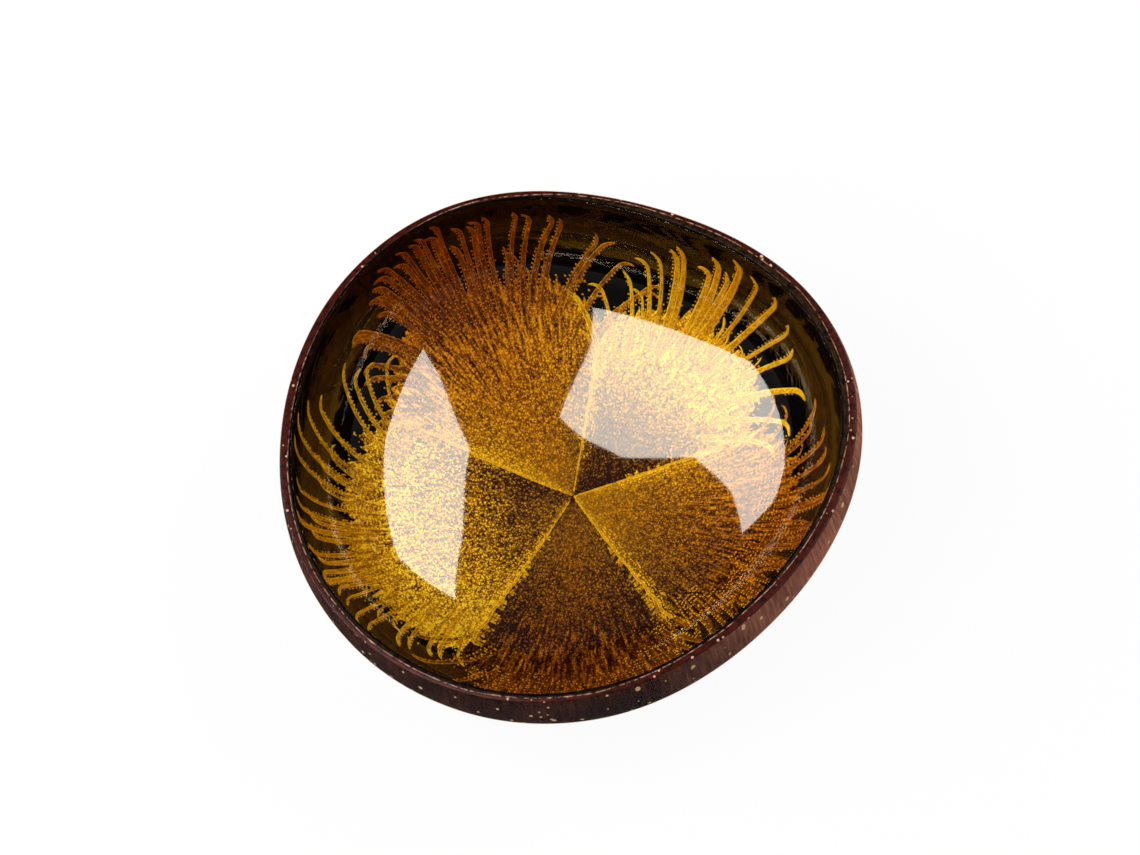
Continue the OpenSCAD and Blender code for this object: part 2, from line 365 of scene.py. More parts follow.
clear_varnish, tree, output = new_material("clear varnish")
place = add(tree, "TexCoord").outputs["Object"]
ripple = add(tree, "TexNoise", {"Vector": place, "Scale": 1 / ripple_size, "Detail": 2.0})
brushed = add(tree, "Bump", {"Height": ripple.outputs["Fac"], "Strength": 0.25, "Distance": ripple_depth})
gloss = add(tree, "BsdfGlossy", {"Roughness": 0.29, "Normal": brushed.outputs[0]})
see_through = add(tree, "BsdfTransparent", {"Color": varnish_tint})
facing = add(tree, "Fresnel", {"IOR": clear_ior, "Normal": brushed.outputs[0]})
side = add(tree, "NewGeometry")
front = add(tree, "Math", {0: 1.0, 1: side.outputs["Backfacing"]}, operation="SUBTRACT")
mirror = add(tree, "MapRange", {0: facing.outputs[0], 1: straight_on, 2: 1.0,
                                3: varnish_mirror, 4: varnish_graze})
share = add(tree, "Math", {0: mirror.outputs[0], 1: front.outputs[0]}, operation="MULTIPLY")
film = add(tree, "MixShader", {0: share.outputs[0], 1: see_through.outputs[0], 2: gloss.outputs[0]})
tree.links.new(film.outputs[0], output.inputs[0])

film_rings = varnish_rings(-varnish_seat) + varnish_rings(varnish)[::-1]
outer_varnish = lofted("outer_varnish_visual", film_rings, looped=True)
outer_varnish.data.materials.append(clear_varnish)
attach(outer_varnish, "root")
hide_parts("outer_varnish")

# Black ground
# Black lacquer, brushed over the whole cavity to seal it before the gold is poured.
# Near the rim it is thin enough for the shell to show through in amber streaks.

ground_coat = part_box("gold_pour_1")[0][2] - floor_height
ground_seat = 0.05 * MM
ground_rings = (
    [[cavity_point(0, bottom, -ground_seat)]]
    + [[cavity_point(turn, angle, -ground_seat) for turn in turns] for angle in cavity_angles[1:]]
    + [[cavity_point(turn, angle, ground_coat) for turn in turns] for angle in cavity_angles[:0:-1]]
    + [[cavity_point(0, bottom, ground_coat)]]
)

# Black lacquer: nearly black, warm, with brown streaks drawn round the bowl by the brush.
lacquer_black, lacquer_brown, lacquer_amber = srgb("050404"), srgb("0e0908"), srgb("1d120e")
brush_height, brush_length = 1.1 * MM, 16 * MM
patch_size, patch_low, patch_high, patch_less, patch_more = 22 * MM, 0.3, 0.7, -0.1, 0.08
thin_from, thin_most = girth_height - 14 * MM, 0.14

black_lacquer, tree, output = new_material("black lacquer")
place = add(tree, "TexCoord").outputs["Object"]
brush_scale = (1 / brush_length, 1 / brush_length, 1 / brush_height)
brush_place = add(tree, "VectorMath", {0: place, 1: brush_scale}, operation="MULTIPLY")
streaks = add(tree, "TexNoise", {"Vector": brush_place.outputs[0], "Scale": 1.0, "Detail": 4.0,
                                 "Roughness": 0.55, "Distortion": 0.2})
patches = add(tree, "TexNoise", {"Vector": place, "Scale": 1 / patch_size, "Detail": 2.0})
apart = add(tree, "SeparateXYZ", {0: place})
thin = add(tree, "MapRange", {0: apart.outputs[2], 1: thin_from, 2: rim_height, 3: 0.0, 4: thin_most})
patchy = add(tree, "MapRange", {0: patches.outputs["Fac"], 1: patch_low, 2: patch_high,
                                3: patch_less, 4: patch_more})
thinner = add(tree, "Math", {0: streaks.outputs["Fac"], 1: thin.outputs[0]}, operation="ADD")
shown = add(tree, "Math", {0: thinner.outputs[0], 1: patchy.outputs[0]}, operation="ADD")
lacquer_tone = add(tree, "ValToRGB", {0: shown.outputs[0]},
                   stops=[(0.45, lacquer_black), (0.98, lacquer_amber), (0.66, lacquer_brown)])
surface = add(tree, "BsdfPrincipled", {"Base Color": lacquer_tone.outputs[0], "Roughness": 0.6,
                                       "Specular IOR Level": 0.0})
tree.links.new(surface.outputs[0], output.inputs[0])

black_ground = lofted("black_ground_visual", ground_rings)
black_ground.data.materials.append(black_lacquer)
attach(black_ground, "root")
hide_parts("black_ground")

# Gold pours
# Five pours of gold bronze paint, which met in the middle in raised seams and were spun up the wall.
# The paint broke into grains on the black, and its ends drew out into hooked runs with beads along them.

gold_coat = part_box("clear_topcoat")[0][2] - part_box("gold_pour_1")[0][2]
gold_seat = 0.05 * MM
middle_x, middle_y = -0.6 * MM, 2.2 * MM
pour_seams = [math.radians(d) for d in (2, 66, 142, 224, 290, 362)]
# The pours in turn, counter-clockwise from the right. A place across a pour runs from -1 to 1.
# edge and tip: heights of the sheet's edge and of the longest run's tip; peak: where across that run is.
# falls: how much lower the tips end at either side; runs and width: number and width of the runs.
# part: where the hooks part to the two sides; closed: between which places the runs close up.
# fan: how far the runs fan out on either side; paint: how thick the sheet lies in the middle.
# rich and lean: how much thicker it gets outwards, and towards one side. Thicker paint is brighter, and
# these three partly stand for painted light and shade: the pours beside the softboxes' reflections are
# made brighter outwards, the pours away from them darker, and the first pour thin in the middle, under a
# reflection.
# red, drawn and grain: how much redder, streakier and more broken it looks.
pours = [
    {
        "edge": 19 * MM, "tip": 45.5 * MM, "peak": 0.0, "falls": (19 * MM, 17 * MM),
        "runs": 15, "width": 1.7 * MM, "part": -0.45, "closed": (-0.1, 0.4), "fan": (0.8, 0.6),
        "paint": 0.22, "rich_and_lit": 0.59, "lean_and_lit": 0.0, "red": -0.5, "drawn": 0.6, "grain": 0.7,
    },
    {
        "edge": 21 * MM, "tip": 48 * MM, "peak": 0.05, "falls": (12 * MM, 27 * MM),
        "runs": 25, "width": 1.55 * MM, "part": -0.75, "closed": (-0.2, 0.6), "fan": (0.8, 1.0),
        "paint": 0.58, "rich_and_lit": 0.02, "lean_and_lit": -0.04, "red": 0.09, "drawn": 1.0, "grain": 0.85,
    },
    {
        "edge": 21 * MM, "tip": 47 * MM, "peak": -0.35, "falls": (13 * MM, 21 * MM),
        "runs": 22, "width": 1.25 * MM, "part": 0.05, "closed": (-0.2, 0.3), "fan": (1.0, 0.35),
        "paint": 0.37, "rich_and_lit": 0.47, "lean_and_lit": 0.04, "red": -0.5, "drawn": 0.6, "grain": 1.0,
    },
    {
        "edge": 23 * MM, "tip": 47.5 * MM, "peak": 0.0, "falls": (15 * MM, 15 * MM),
        "runs": 20, "width": 1.6 * MM, "part": 0.0, "closed": (-0.7, 0.8), "fan": (1.0, 0.4),
        "paint": 0.49, "rich_and_lit": -0.24, "lean_and_lit": 0.0, "red": 0.1, "drawn": 1.0, "grain": 0.75,
    },
    {
        "edge": 20 * MM, "tip": 45 * MM, "peak": -0.2, "falls": (8 * MM, 15 * MM),
        "runs": 24, "width": 1.2 * MM, "part": 0.3, "closed": (-0.3, 0.0), "fan": (0.3, 0.8),
        "paint": 0.5, "rich_and_lit": -0.15, "lean_and_lit": 0.16, "red": 0.0, "drawn": 1.0, "grain": 0.68,
    },
]
# Whether the pour that starts at each seam lies on top there, and not the one that ends there.
starts_on_top = [False, False, False, False, True]
rng = random.Random(11)


def wall_angle(height):
    """Angle on the cavity's curve at a height above the table."""
    if height < girth_height:
        return -math.asin(min(1, (girth_height - height) / cavity_depth))
    return math.asin((height - girth_height) / rise)


def flow_point(turn, angle, lift):
    """Point of the cavity for the gold, whose middle lies a little off the middle of the bowl."""
    fade = max(0.0, -math.sin(angle)) ** 2
    flat = cavity_point(turn, angle, 0)
    x, y = flat.x + middle_x * fade, flat.y + middle_y * fade
    moved_turn = math.atan2(y, x)
    if angle < 0:
        full = cavity_point(moved_turn, 0, 0)
        angle = -math.acos(min(1, math.hypot(x, y) / math.hypot(full.x, full.y)))
    return cavity_point(moved_turn, angle, lift)


# A small change of angle, which gives directions and lengths on the wall.
nudge = 0.002


def flow_frame(turn, angle, lift):
    """Point, direction up the wall, direction round the bowl and direction into the bowl."""
    here = flow_point(turn, angle, lift)
    up = (flow_point(turn, angle + nudge, lift) - here).normalized()
    along = (flow_point(turn + nudge, angle, lift) - here).normalized()
    return here, up, along, up.cross(along).normalized()


walk_step, fewest_steps = 0.55 * MM, 6
highest_run = wall_angle(rim_height - 1.6 * MM)


def walk(turn, angle, heading, length, bend, hook, hook_length):
    """Path of a run up the wall: it leaves at a heading, bends steadily and hooks at its end."""
    steps = max(fewest_steps, int(length / walk_step))
    stride = length / steps
    path = []
    for k in range(steps + 1):
        path.append((turn, angle))
        here = flow_point(turn, angle, 0)
        heading += bend / steps
        if stride * k > length - hook_length:
            heading += hook * stride / hook_length
        climb = (flow_point(turn, angle + nudge, 0) - here).length / nudge
        swing = (flow_point(turn + nudge, angle, 0) - here).length / nudge
        angle += stride * math.cos(heading) / climb
        turn += stride * math.sin(heading) / swing
        if angle > highest_run:
            break
    return path


# A bead is a low drop with seven sides; widths and heights are shares of its size.
bead_sides, bead_stretch, bead_paint = 7, (0.8, 1.35), (0.8, 1.0)
shoulder_width, shoulder_height, crown_height = 0.72, 0.5, 0.75
bead_sizes, bead_shift = (0.18 * MM, 0.32 * MM), (-0.3 * MM, 0.3 * MM)
# Across a band of paint: the places, their heights and how much brighter the paint is drawn there.
band_places = (-1.0, -0.82, -0.45, 0.45, 0.82, 1.0)
band_heights = (0.0, 0.9, 0.7, 0.7, 0.9, 0.0)
band_brighter = (0.15, 0.26, -0.08, -0.08, 0.26, 0.15)
full_band = 0.6 * MM
# A run is narrow at its root, tapers and ends blunt; its paint gathers towards the tip.
hook_longest, hook_share = 4.5 * MM, 0.5
root_width, root_widens, tip_width, tip_blunt = 0.4, 5, 0.15, 2.8
run_taper, run_uneven = 0.4, (0.92, 1.08)
root_paint, tip_paint = 0.3, 0.28
# Beads of a run, in its hook, on top of it and on its other side: how likely, how much less at the tip.
hook_beads_fewer, hook_bead_sizes, hook_bead_shift = 0.3, (0.22 * MM, 0.3 * MM), (-0.1 * MM, 0.1 * MM)
top_beads, top_bead_sizes, top_bead_reach, top_bead_lift = 0.8, (0.2 * MM, 0.28 * MM), 0.35, 0.6
other_beads, other_beads_fewer, other_bead_sizes = 0.6, 0.9, (0.18 * MM, 0.28 * MM)
hook_bead_gap, other_bead_gap = 1.2, 0.9
bead_grain, band_grain, sheet_grain = 0.3, 0.4, 1.0


class Gold:
    """One pour as it is drawn; its paint (0 thin, 1 solid) and grain (0 smooth, 1 broken) are by point."""

    def __init__(self):
        self.points, self.faces, self.paint, self.grain = [], [], [], []

    def put(self, points, faces, paint, grain):
        """Adds a closed form to the pour."""
        first = len(self.points)
        self.points += points
        self.faces += [tuple(first + i for i in face) for face in faces]
        self.paint += paint
        self.grain += [grain] * len(points)

    def bead(self, turn, angle, side, ahead, size, lift=0.0):
        """A low drop of paint beside a run, or lifted on to it."""
        here, up, along, inward = flow_frame(turn, angle, ground_coat + lift)
        here = here + along * side + up * ahead
        stretch = rng.uniform(*bead_stretch)
        corners = spread(0, 2 * math.pi, bead_sides + 1)[:-1]
        ring = [along * math.cos(a) + up * (math.sin(a) * stretch) for a in corners]
        base = [here + way * size - inward * gold_seat for way in ring]
        shoulder = [here + way * size * shoulder_width + inward * size * shoulder_height for way in ring]
        crown = [here + inward * size * crown_height]
        count = bead_sides
        faces = [tuple(range(count))[::-1]]
        for i in range(count):
            j = (i + 1) % count
            faces.append((i, j, count + j, count + i))
            faces.append((count + i, count + j, 2 * count))
        paint = [rng.uniform(*bead_paint)] * (2 * count + 1)
        self.put(base + shoulder + crown, faces, paint, bead_grain)

    def ribbon(self, path, widths, height, paint):
        """A raised band of paint along a path, a little hollow along its middle."""
        points, faces, shares = [], [], []
        spine = [flow_frame(turn, angle, ground_coat) for turn, angle in path]
        for k, (here, up, along, inward) in enumerate(spine):
            before, after = spine[max(0, k - 1)][0], spine[min(len(spine) - 1, k + 1)][0]
            side = inward.cross((after - before).normalized())
            for c, h, more in zip(band_places, band_heights, band_brighter):
                lift = height * h * min(1, widths[k] / full_band) - (gold_seat if h == 0 else 0)
                points.append(here + side * widths[k] * c / 2 + inward * lift)
                shares.append(paint[k] + more)
        n = len(band_places)
        for k in range(len(spine) - 1):
            for c in range(n):
                d = (c + 1) % n
                faces.append((k * n + c, k * n + d, (k + 1) * n + d, (k + 1) * n + c))
        faces.append(tuple(range(n))[::-1])
        faces.append(tuple(range((len(spine) - 1) * n, len(spine) * n)))
        self.put(points, faces, shares, band_grain)

    def run(self, turn, height, heading, length, bend, hook, width, rich_and_lit, beads=1.0):
        """One run of paint: a band with beads along it, most of them on the side that it hooks to."""
        hook_length = min(hook_longest, hook_share * length)
        path = walk(turn, wall_angle(height), heading, length, bend, hook, hook_length)
        count = len(path)
        widths, paint = [], []
        for k in range(count):
            gone = k / (count - 1)
            tip = min(1.0, math.sqrt(max(0.0, 1 - gone)) * tip_blunt + tip_width)
            root = min(1.0, root_width + gone * root_widens)
            widths.append(width * root * tip * (1 - run_taper * gone) * rng.uniform(*run_uneven))
            paint.append(root_paint + rich_and_lit + tip_paint * gone)
        self.ribbon(path, widths, gold_coat, paint)
        toward = math.copysign(1, hook)
        for k, (t, a) in enumerate(path[1:-2:2]):
            gone = 2 * k / count
            band = widths[2 * k + 1]
            if rng.random() < beads * (1.0 - hook_beads_fewer * gone):
                size = rng.uniform(*hook_bead_sizes)
                off = toward * (band / 2 + hook_bead_gap * size)
                self.bead(t, a, off, rng.uniform(*hook_bead_shift), size)
            if rng.random() < top_beads * beads * (1 - gone):
                off = rng.uniform(-top_bead_reach, top_bead_reach) * band
                ahead = rng.uniform(*bead_shift)
                self.bead(t, a, off, ahead, rng.uniform(*top_bead_sizes), top_bead_lift * gold_coat)
            if rng.random() < beads * (other_beads - other_beads_fewer * gone):
                size = rng.uniform(*other_bead_sizes)
                off = -toward * (band / 2 + other_bead_gap * size)
                self.bead(t, a, off, rng.uniform(*bead_shift), size)

    def close(self, top, under, paint, columns, rows):
        """A sheet with a top and an under face, closed all round."""
        step, count = rows + 1, len(top)
        faces = []
        for c in range(columns - 1):
            for row in range(rows):
                a, b = c * step + row, (c + 1) * step + row
                faces.append((a, b, b + 1, a + 1))
                faces.append((count + a, count + a + 1, count + b + 1, count + b))
            for row in (0, rows):
                a, b = c * step + row, (c + 1) * step + row
                faces.append((a, b, count + b, count + a))
        for c in (0, columns - 1):
            for row in range(rows):
                a = c * step + row
                faces.append((a, a + 1, count + a + 1, count + a))
        self.put(top + under, faces, paint + paint, sheet_grain)


# The sheet of a pour: its ragged edge droops towards the seams, and lumps and crumbs raise its face.
column_turn, sheet_rows, first_row, edge_rows = math.radians(0.5), 56, 0.004, 3
edge_droop, droop_bend, tip_bend = 6 * MM, 2.5, 1.3
ragged_waves, ragged_apart, ragged_coarser = 45, 9.0, 0.3
ragged_depth, coarse_depth = 2.2 * MM, 1.5 * MM
relief_mean, relief_least = 0.5, 0.1
lump_size, lump_height, crumb_size, crumb_height = 1.6 * MM, 0.5, 0.7 * MM, 0.35
rich_and_lit_from, rich_and_lit_to, run_rich_and_lit = 14 * MM, 40 * MM, 0.65
# Along a seam the pour on top is richer, and the one under it is darker in a wider strip.
ridge_width, ridge_widens, ridge_paint = 0.5 * MM, 0.03, 0.32
strip_width, strip_widens, strip_darker = 2.0 * MM, 0.16, -0.22
seam_steps, seam_start, seam_short = 90, 0.02, 1 * MM
seam_sway, sway_waves, seam_ripple, ripple_waves = math.radians(2.0), 3, math.radians(0.5), 40
seam_width, seam_widens, seam_uneven = 0.3 * MM, 0.6 * MM, (0.75, 1.25)
seam_height, seam_paint = 1.5 * gold_coat, 0.8
# Rows of beads beside a seam, and barbs that leave it on the other side.
beads_from, bead_rows, first_beads, fewer_beads = 20, 4, 0.85, 0.15
bead_row_first, bead_row_gap = 0.45 * MM, 0.62 * MM
barbs, more_barbs, barb_lowest = 0.25, 0.5, floor_height + 0.3 * MM
barb_length, barb_longer, barb_width = 0.9 * MM, 2.4 * MM, 0.7 * MM
barb_heading, barb_bend, barb_hook, barb_rich, barb_beads = (0.5, 1.5), 0.4, (0.2, 1.0), 0.2, 0.3
# Runs start under the sheet's edge. Each has a second one beside it, which is shorter.
run_shift, part_shift, run_spread = (-0.3, 0.3), (-0.1, 0.1), 0.93
root_under, tip_short, run_shortest, run_slack = (4 * MM, 7 * MM), (0, 4 * MM), 7 * MM, 1.1
fan_heading, fan_bend, fan_uneven = 0.45, 0.6, (-0.06, 0.06)
run_hook, second_hook, run_width, closed_wider = (0.6, 1.5), (0.6, 2.2), (0.75, 1.25), 1.35
second_beside = (0.8, 1.2)
closed_length, closed_width = (0.75, 0.97), (1.1, 1.5)
open_length, open_width = (0.3, 0.65), (0.4, 0.8)
loose_beads, loose_spread, loose_above, loose_under = 120, (-0.98, 0.98), 4 * MM, 1.5 * MM


def draw_pour(k):
    """The sheet of one pour with its ragged edge, its seams, its runs and the loose beads between."""
    gold = Gold()
    form = pours[k]
    start, end = pour_seams[k], pour_seams[k + 1]
    middle, half = (start + end) / 2, (end - start) / 2
    start_on_top = starts_on_top[k]
    end_on_top = not starts_on_top[(k + 1) % len(pours)]

    def edge_height(across):
        return form["edge"] - edge_droop * abs(across) ** droop_bend

    def tip_height(across):
        off = across - form["peak"]
        reach = 1 + form["peak"] if off < 0 else 1 - form["peak"]
        return form["tip"] - form["falls"][0 if off < 0 else 1] * (abs(off) / reach) ** tip_bend

    columns = spread(start, end, int((end - start) / column_turn))
    top, under, paint = [], [], []
    for turn in columns:
        across = (turn - middle) / half
        spot = Vector((math.cos(turn) * ragged_waves, math.sin(turn) * ragged_waves, k * ragged_apart))
        ragged = noise.noise(spot) * ragged_depth + noise.noise(spot * ragged_coarser) * coarse_depth
        limit = wall_angle(edge_height(across) + ragged)
        for row in range(sheet_rows + 1):
            share = row / sheet_rows
            angle = bottom + (limit - bottom) * (first_row + (1 - first_row) * share)
            flat = flow_point(turn, angle, 0)
            reach = math.hypot(flat.x - middle_x, flat.y - middle_y)
            fall = min(1.0, (1 - share) * sheet_rows / edge_rows)
            lumps = lump_height * noise.noise(flat / lump_size)
            relief = relief_mean + lumps + crumb_height * noise.noise(flat / crumb_size)
            thick = gold_coat * max(relief_least, relief) * fall
            top.append(flow_point(turn, angle, ground_coat + thick))
            under.append(flow_point(turn, angle, ground_coat - gold_seat))
            # Outwards the paint grows richer, which partly stands for painted light: brighter round the
            # softboxes' reflections.
            outer = min(1, max(0, reach - rich_and_lit_from) / (rich_and_lit_to - rich_and_lit_from))
            amount = form["paint"] + (form["rich_and_lit"] + form["lean_and_lit"] * across) * outer
            for gap, on_top in ((turn - start, start_on_top), (end - turn, end_on_top)):
                if on_top:
                    amount += ridge_paint * math.exp(-gap * reach / (ridge_width + ridge_widens * reach))
                else:
                    amount += strip_darker * math.exp(-gap * reach / (strip_width + strip_widens * reach))
            paint.append(amount)
    gold.close(top, under, paint, len(columns), sheet_rows)

    first_angle = bottom + seam_start
    last_angle = wall_angle(edge_height(1) - seam_short)
    for seam, inward_way, on_top in ((start, 1, start_on_top), (end, -1, end_on_top)):
        if not on_top:
            continue
        sway = rng.uniform(-1, 1)
        path, widths = [], []
        for s in range(seam_steps + 1):
            share = s / seam_steps
            ripple = seam_ripple * math.sin(ripple_waves * share)
            wander = seam_sway * sway * math.sin(sway_waves * share) + ripple
            path.append((seam + wander * share, first_angle + (last_angle - first_angle) * share))
            widths.append((seam_width + seam_widens * share) * rng.uniform(*seam_uneven))
        gold.ribbon(path, widths, seam_height, [seam_paint] * len(path))
        for s, (turn, angle) in enumerate(path[beads_from:]):
            far = s / (len(path) - beads_from)
            for row in range(bead_rows):
                if rng.random() < first_beads - fewer_beads * row:
                    off = inward_way * (bead_row_first + bead_row_gap * row)
                    gold.bead(turn, angle, off, rng.uniform(*bead_shift), rng.uniform(*bead_sizes))
            if rng.random() < barbs + more_barbs * far:
                height = max(flow_point(turn, angle, 0).z, barb_lowest)
                heading = -inward_way * rng.uniform(*barb_heading)
                hook = -inward_way * rng.uniform(*barb_hook)
                gold.run(turn, height, heading, barb_length + barb_longer * far, -inward_way * barb_bend,
                         hook, barb_width, barb_rich, barb_beads)

    count = form["runs"]
    closed_from, closed_to = form["closed"]
    for n in range(count):
        across = -1 + 2 * (n + 0.5 + rng.uniform(*run_shift)) / count
        side = math.copysign(1, across - form["part"] + rng.uniform(*part_shift))
        # Runs share their pour's richer paint, and with it its painted light.
        rich_and_lit = run_rich_and_lit * form["rich_and_lit"] + form["lean_and_lit"] * across
        root = edge_height(across) - rng.uniform(*root_under)
        length = max(run_shortest, (tip_height(across) - root - rng.uniform(*tip_short)) * run_slack)
        fan = across * form["fan"][0 if across < 0 else 1]
        heading = fan_heading * fan + rng.uniform(*fan_uneven)
        bend = fan_bend * fan + rng.uniform(*fan_uneven)
        hook = side * rng.uniform(*run_hook)
        closed = closed_from < across < closed_to
        width = rng.uniform(*run_width) * form["width"] * (closed_wider if closed else 1.0)
        turn = middle + half * run_spread * across
        gold.run(turn, root, heading, length, bend, hook, width, rich_and_lit)
        beside = across + rng.uniform(*second_beside) / count
        shorter = rng.uniform(*(closed_length if closed else open_length))
        width = rng.uniform(*(closed_width if closed else open_width)) * form["width"]
        hook = side * rng.uniform(*second_hook)
        turn = middle + half * run_spread * beside
        gold.run(turn, root, heading, shorter * length, bend, hook, width, rich_and_lit)
    for n in range(loose_beads):
        across = rng.uniform(*loose_spread)
        above = rng.random() ** 2 * loose_above - loose_under
        angle = wall_angle(edge_height(across) + above)
        gold.bead(middle + half * across, angle, 0, 0, rng.uniform(*bead_sizes))
    return gold


# Gold bronze paint: flakes of brass in a clear binder, broken into bright grains and dark pits. It is
# fine and olive in the middle of the bowl, and coarser, redder and drawn out into streaks farther out.
# The flakes are too fine to show, so a grain or pit stands for a clump of them, half a millimetre across.
pit_brown, thin_olive, thin_gold = srgb("2a120a"), srgb("784e12"), srgb("b8800e")
gold_yellow, gold_bright = srgb("f0ba10"), srgb("ffe038")
plain_tint, red_tint = srgb("ffffff"), srgb("e0906c")
pit_size, pit_reach = 0.48 * MM, 40 * MM
streak_length, streak_drawn, streak_wider = 1.0 * MM, 4.5, 0.8
fur_low, fur_high = 0.28, 0.72
drawn_from, drawn_to, drawn_most = 20 * MM, 38 * MM, 0.75
stir_size, grain_size, grain_chance = 0.8 * MM, 0.54 * MM, 0.42
dot_full, dot_gone = 0.12, 0.55
furred_from, furred_to, furred_least, furred_most = 20 * MM, 44 * MM, 0.3, 0.6
coarse_from, coarse_to, coarse_least, coarse_most = 8 * MM, 44 * MM, 0.6, 1.5
even_tone, thin_darker, thick_lighter = 0.44, -0.3, 0.3
red_reach, red_most = 100 * MM, 0.95
pit_tone, grain_tone, rough_pit, rough_grain = 0.25, 0.65, 0.52, 0.4
flake_depth = 0.15 * MM

gold_paint, tree, output = new_material("gold bronze paint")
place = add(tree, "TexCoord").outputs["Object"]
from_middle = add(tree, "VectorMath", {0: place, 1: (middle_x, middle_y, 0)}, operation="SUBTRACT")
apart = add(tree, "SeparateXYZ", {0: from_middle.outputs[0]})
level = add(tree, "CombineXYZ", {0: apart.outputs[0], 1: apart.outputs[1]})
reach = add(tree, "VectorMath", {0: level.outputs[0]}, operation="LENGTH")
heading = add(tree, "VectorMath", {0: level.outputs[0]}, operation="NORMALIZE")
# Fur of short streaks, set by direction and by the way out and up from the middle, and a longer one.
fan = add(tree, "VectorMath", {0: heading.outputs[0], "Scale": pit_reach / pit_size}, operation="SCALE")
out = add(tree, "Math", {0: reach.outputs["Value"], 1: 1 / streak_length}, operation="MULTIPLY")
climb = add(tree, "Math", {0: apart.outputs[2], 1: 1 / streak_length}, operation="MULTIPLY")
outward = add(tree, "Math", {0: out.outputs[0], 1: climb.outputs[0]}, operation="ADD")
outward_vector = add(tree, "CombineXYZ", {2: outward.outputs[0]})
fur_place = add(tree, "VectorMath", {0: fan.outputs[0], 1: outward_vector.outputs[0]}, operation="ADD")
fur = add(tree, "TexNoise", {"Vector": fur_place.outputs[0], "Scale": 1.0, "Detail": 2.0,
                             "Roughness": 0.6})
drawn_place = add(tree, "VectorMath", {0: fur_place.outputs[0], 1: (1.0, 1.0, 1 / streak_drawn)},
                  operation="MULTIPLY")
drawn_fur = add(tree, "TexNoise", {"Vector": drawn_place.outputs[0], "Scale": streak_wider, "Detail": 2.0})
drawn = add(tree, "MapRange", {0: reach.outputs["Value"], 1: drawn_from, 2: drawn_to,
                               3: 0.0, 4: drawn_most})
both_furs = add(tree, "Mix", {0: drawn.outputs[0], 2: fur.outputs["Fac"], 3: drawn_fur.outputs["Fac"]},
                data_type="FLOAT")
fur_tone = add(tree, "MapRange", {0: both_furs.outputs[0], 1: fur_low, 2: fur_high})
# Grains: dots in a stirred cell pattern, some brighter than others.
stir = add(tree, "TexNoise", {"Vector": place, "Scale": 1 / stir_size, "Detail": 2.0})
stirred = add(tree, "VectorMath", {0: stir.outputs["Color"], 1: (grain_size,) * 3, 2: place},
              operation="MULTIPLY_ADD")
cells = add(tree, "TexVoronoi", {"Vector": stirred.outputs[0], "Scale": 1 / grain_size})
chance = add(tree, "SeparateColor", {0: cells.outputs["Color"]})
dots = add(tree, "MapRange", {0: cells.outputs["Distance"], 1: dot_full, 2: dot_gone, 3: 1.0, 4: 0.0})
dotted = add(tree, "Mix", {0: grain_chance, 2: dots.outputs[0], 3: chance.outputs[0]}, data_type="FLOAT")
furred = add(tree, "MapRange", {0: reach.outputs["Value"], 1: furred_from, 2: furred_to,
                                3: furred_least, 4: furred_most})
streaky = add(tree, "Attribute", attribute_name="drawn")
fur_share = add(tree, "Math", {0: furred.outputs[0], 1: streaky.outputs["Fac"]}, operation="MULTIPLY")
mixed = add(tree, "Mix", {0: fur_share.outputs[0], 2: dotted.outputs[0], 3: fur_tone.outputs[0]},
            data_type="FLOAT")
coarse = add(tree, "MapRange", {0: reach.outputs["Value"], 1: coarse_from, 2: coarse_to,
                                3: coarse_least, 4: coarse_most})
broken = add(tree, "Attribute", attribute_name="grain")
contrast = add(tree, "Math", {0: coarse.outputs[0], 1: broken.outputs["Fac"]}, operation="MULTIPLY")
speckled = add(tree, "Mix", {0: contrast.outputs[0], 2: even_tone, 3: mixed.outputs[0]},
               data_type="FLOAT", clamp_factor=False)
# Thin paint is darker and thick paint brighter. The amount of paint also carries the pours' painted light
# and shade.
amount = add(tree, "Attribute", attribute_name="paint")
thickness = add(tree, "MapRange", {0: amount.outputs["Fac"], 3: thin_darker, 4: thick_lighter})
shade = add(tree, "Math", {0: speckled.outputs[0], 1: thickness.outputs[0]}, operation="ADD")
grains = add(tree, "ValToRGB", {0: shade.outputs[0]},
             stops=[(0.18, pit_brown), (0.84, gold_bright), (0.34, thin_olive), (0.5, thin_gold),
                    (0.66, gold_yellow)])
far_red = add(tree, "MapRange", {0: outward.outputs[0], 1: 0.0, 2: red_reach / streak_length,
                                 3: 0.0, 4: red_most}, clamp=False)
red = add(tree, "Attribute", attribute_name="red")
reddened = add(tree, "Math", {0: far_red.outputs[0], 1: red.outputs["Fac"]}, operation="ADD")
tint = add(tree, "Mix", {0: reddened.outputs[0], 6: plain_tint, 7: red_tint}, data_type="RGBA")
tinted = add(tree, "Mix", {0: 1.0, 6: grains.outputs[0], 7: tint.outputs[2]}, data_type="RGBA",
             blend_type="MULTIPLY")
rough = add(tree, "MapRange", {0: speckled.outputs[0], 1: pit_tone, 2: grain_tone,
                               3: rough_pit, 4: rough_grain})
flakes = add(tree, "Bump", {"Height": dotted.outputs[0], "Strength": 0.42, "Distance": flake_depth})
surface = add(tree, "BsdfPrincipled", {"Base Color": tinted.outputs[2], "Metallic": 0.42,
                                       "Specular IOR Level": 0.0, "Roughness": rough.outputs[0],
                                       "Normal": flakes.outputs[0]})
tree.links.new(surface.outputs[0], output.inputs[0])

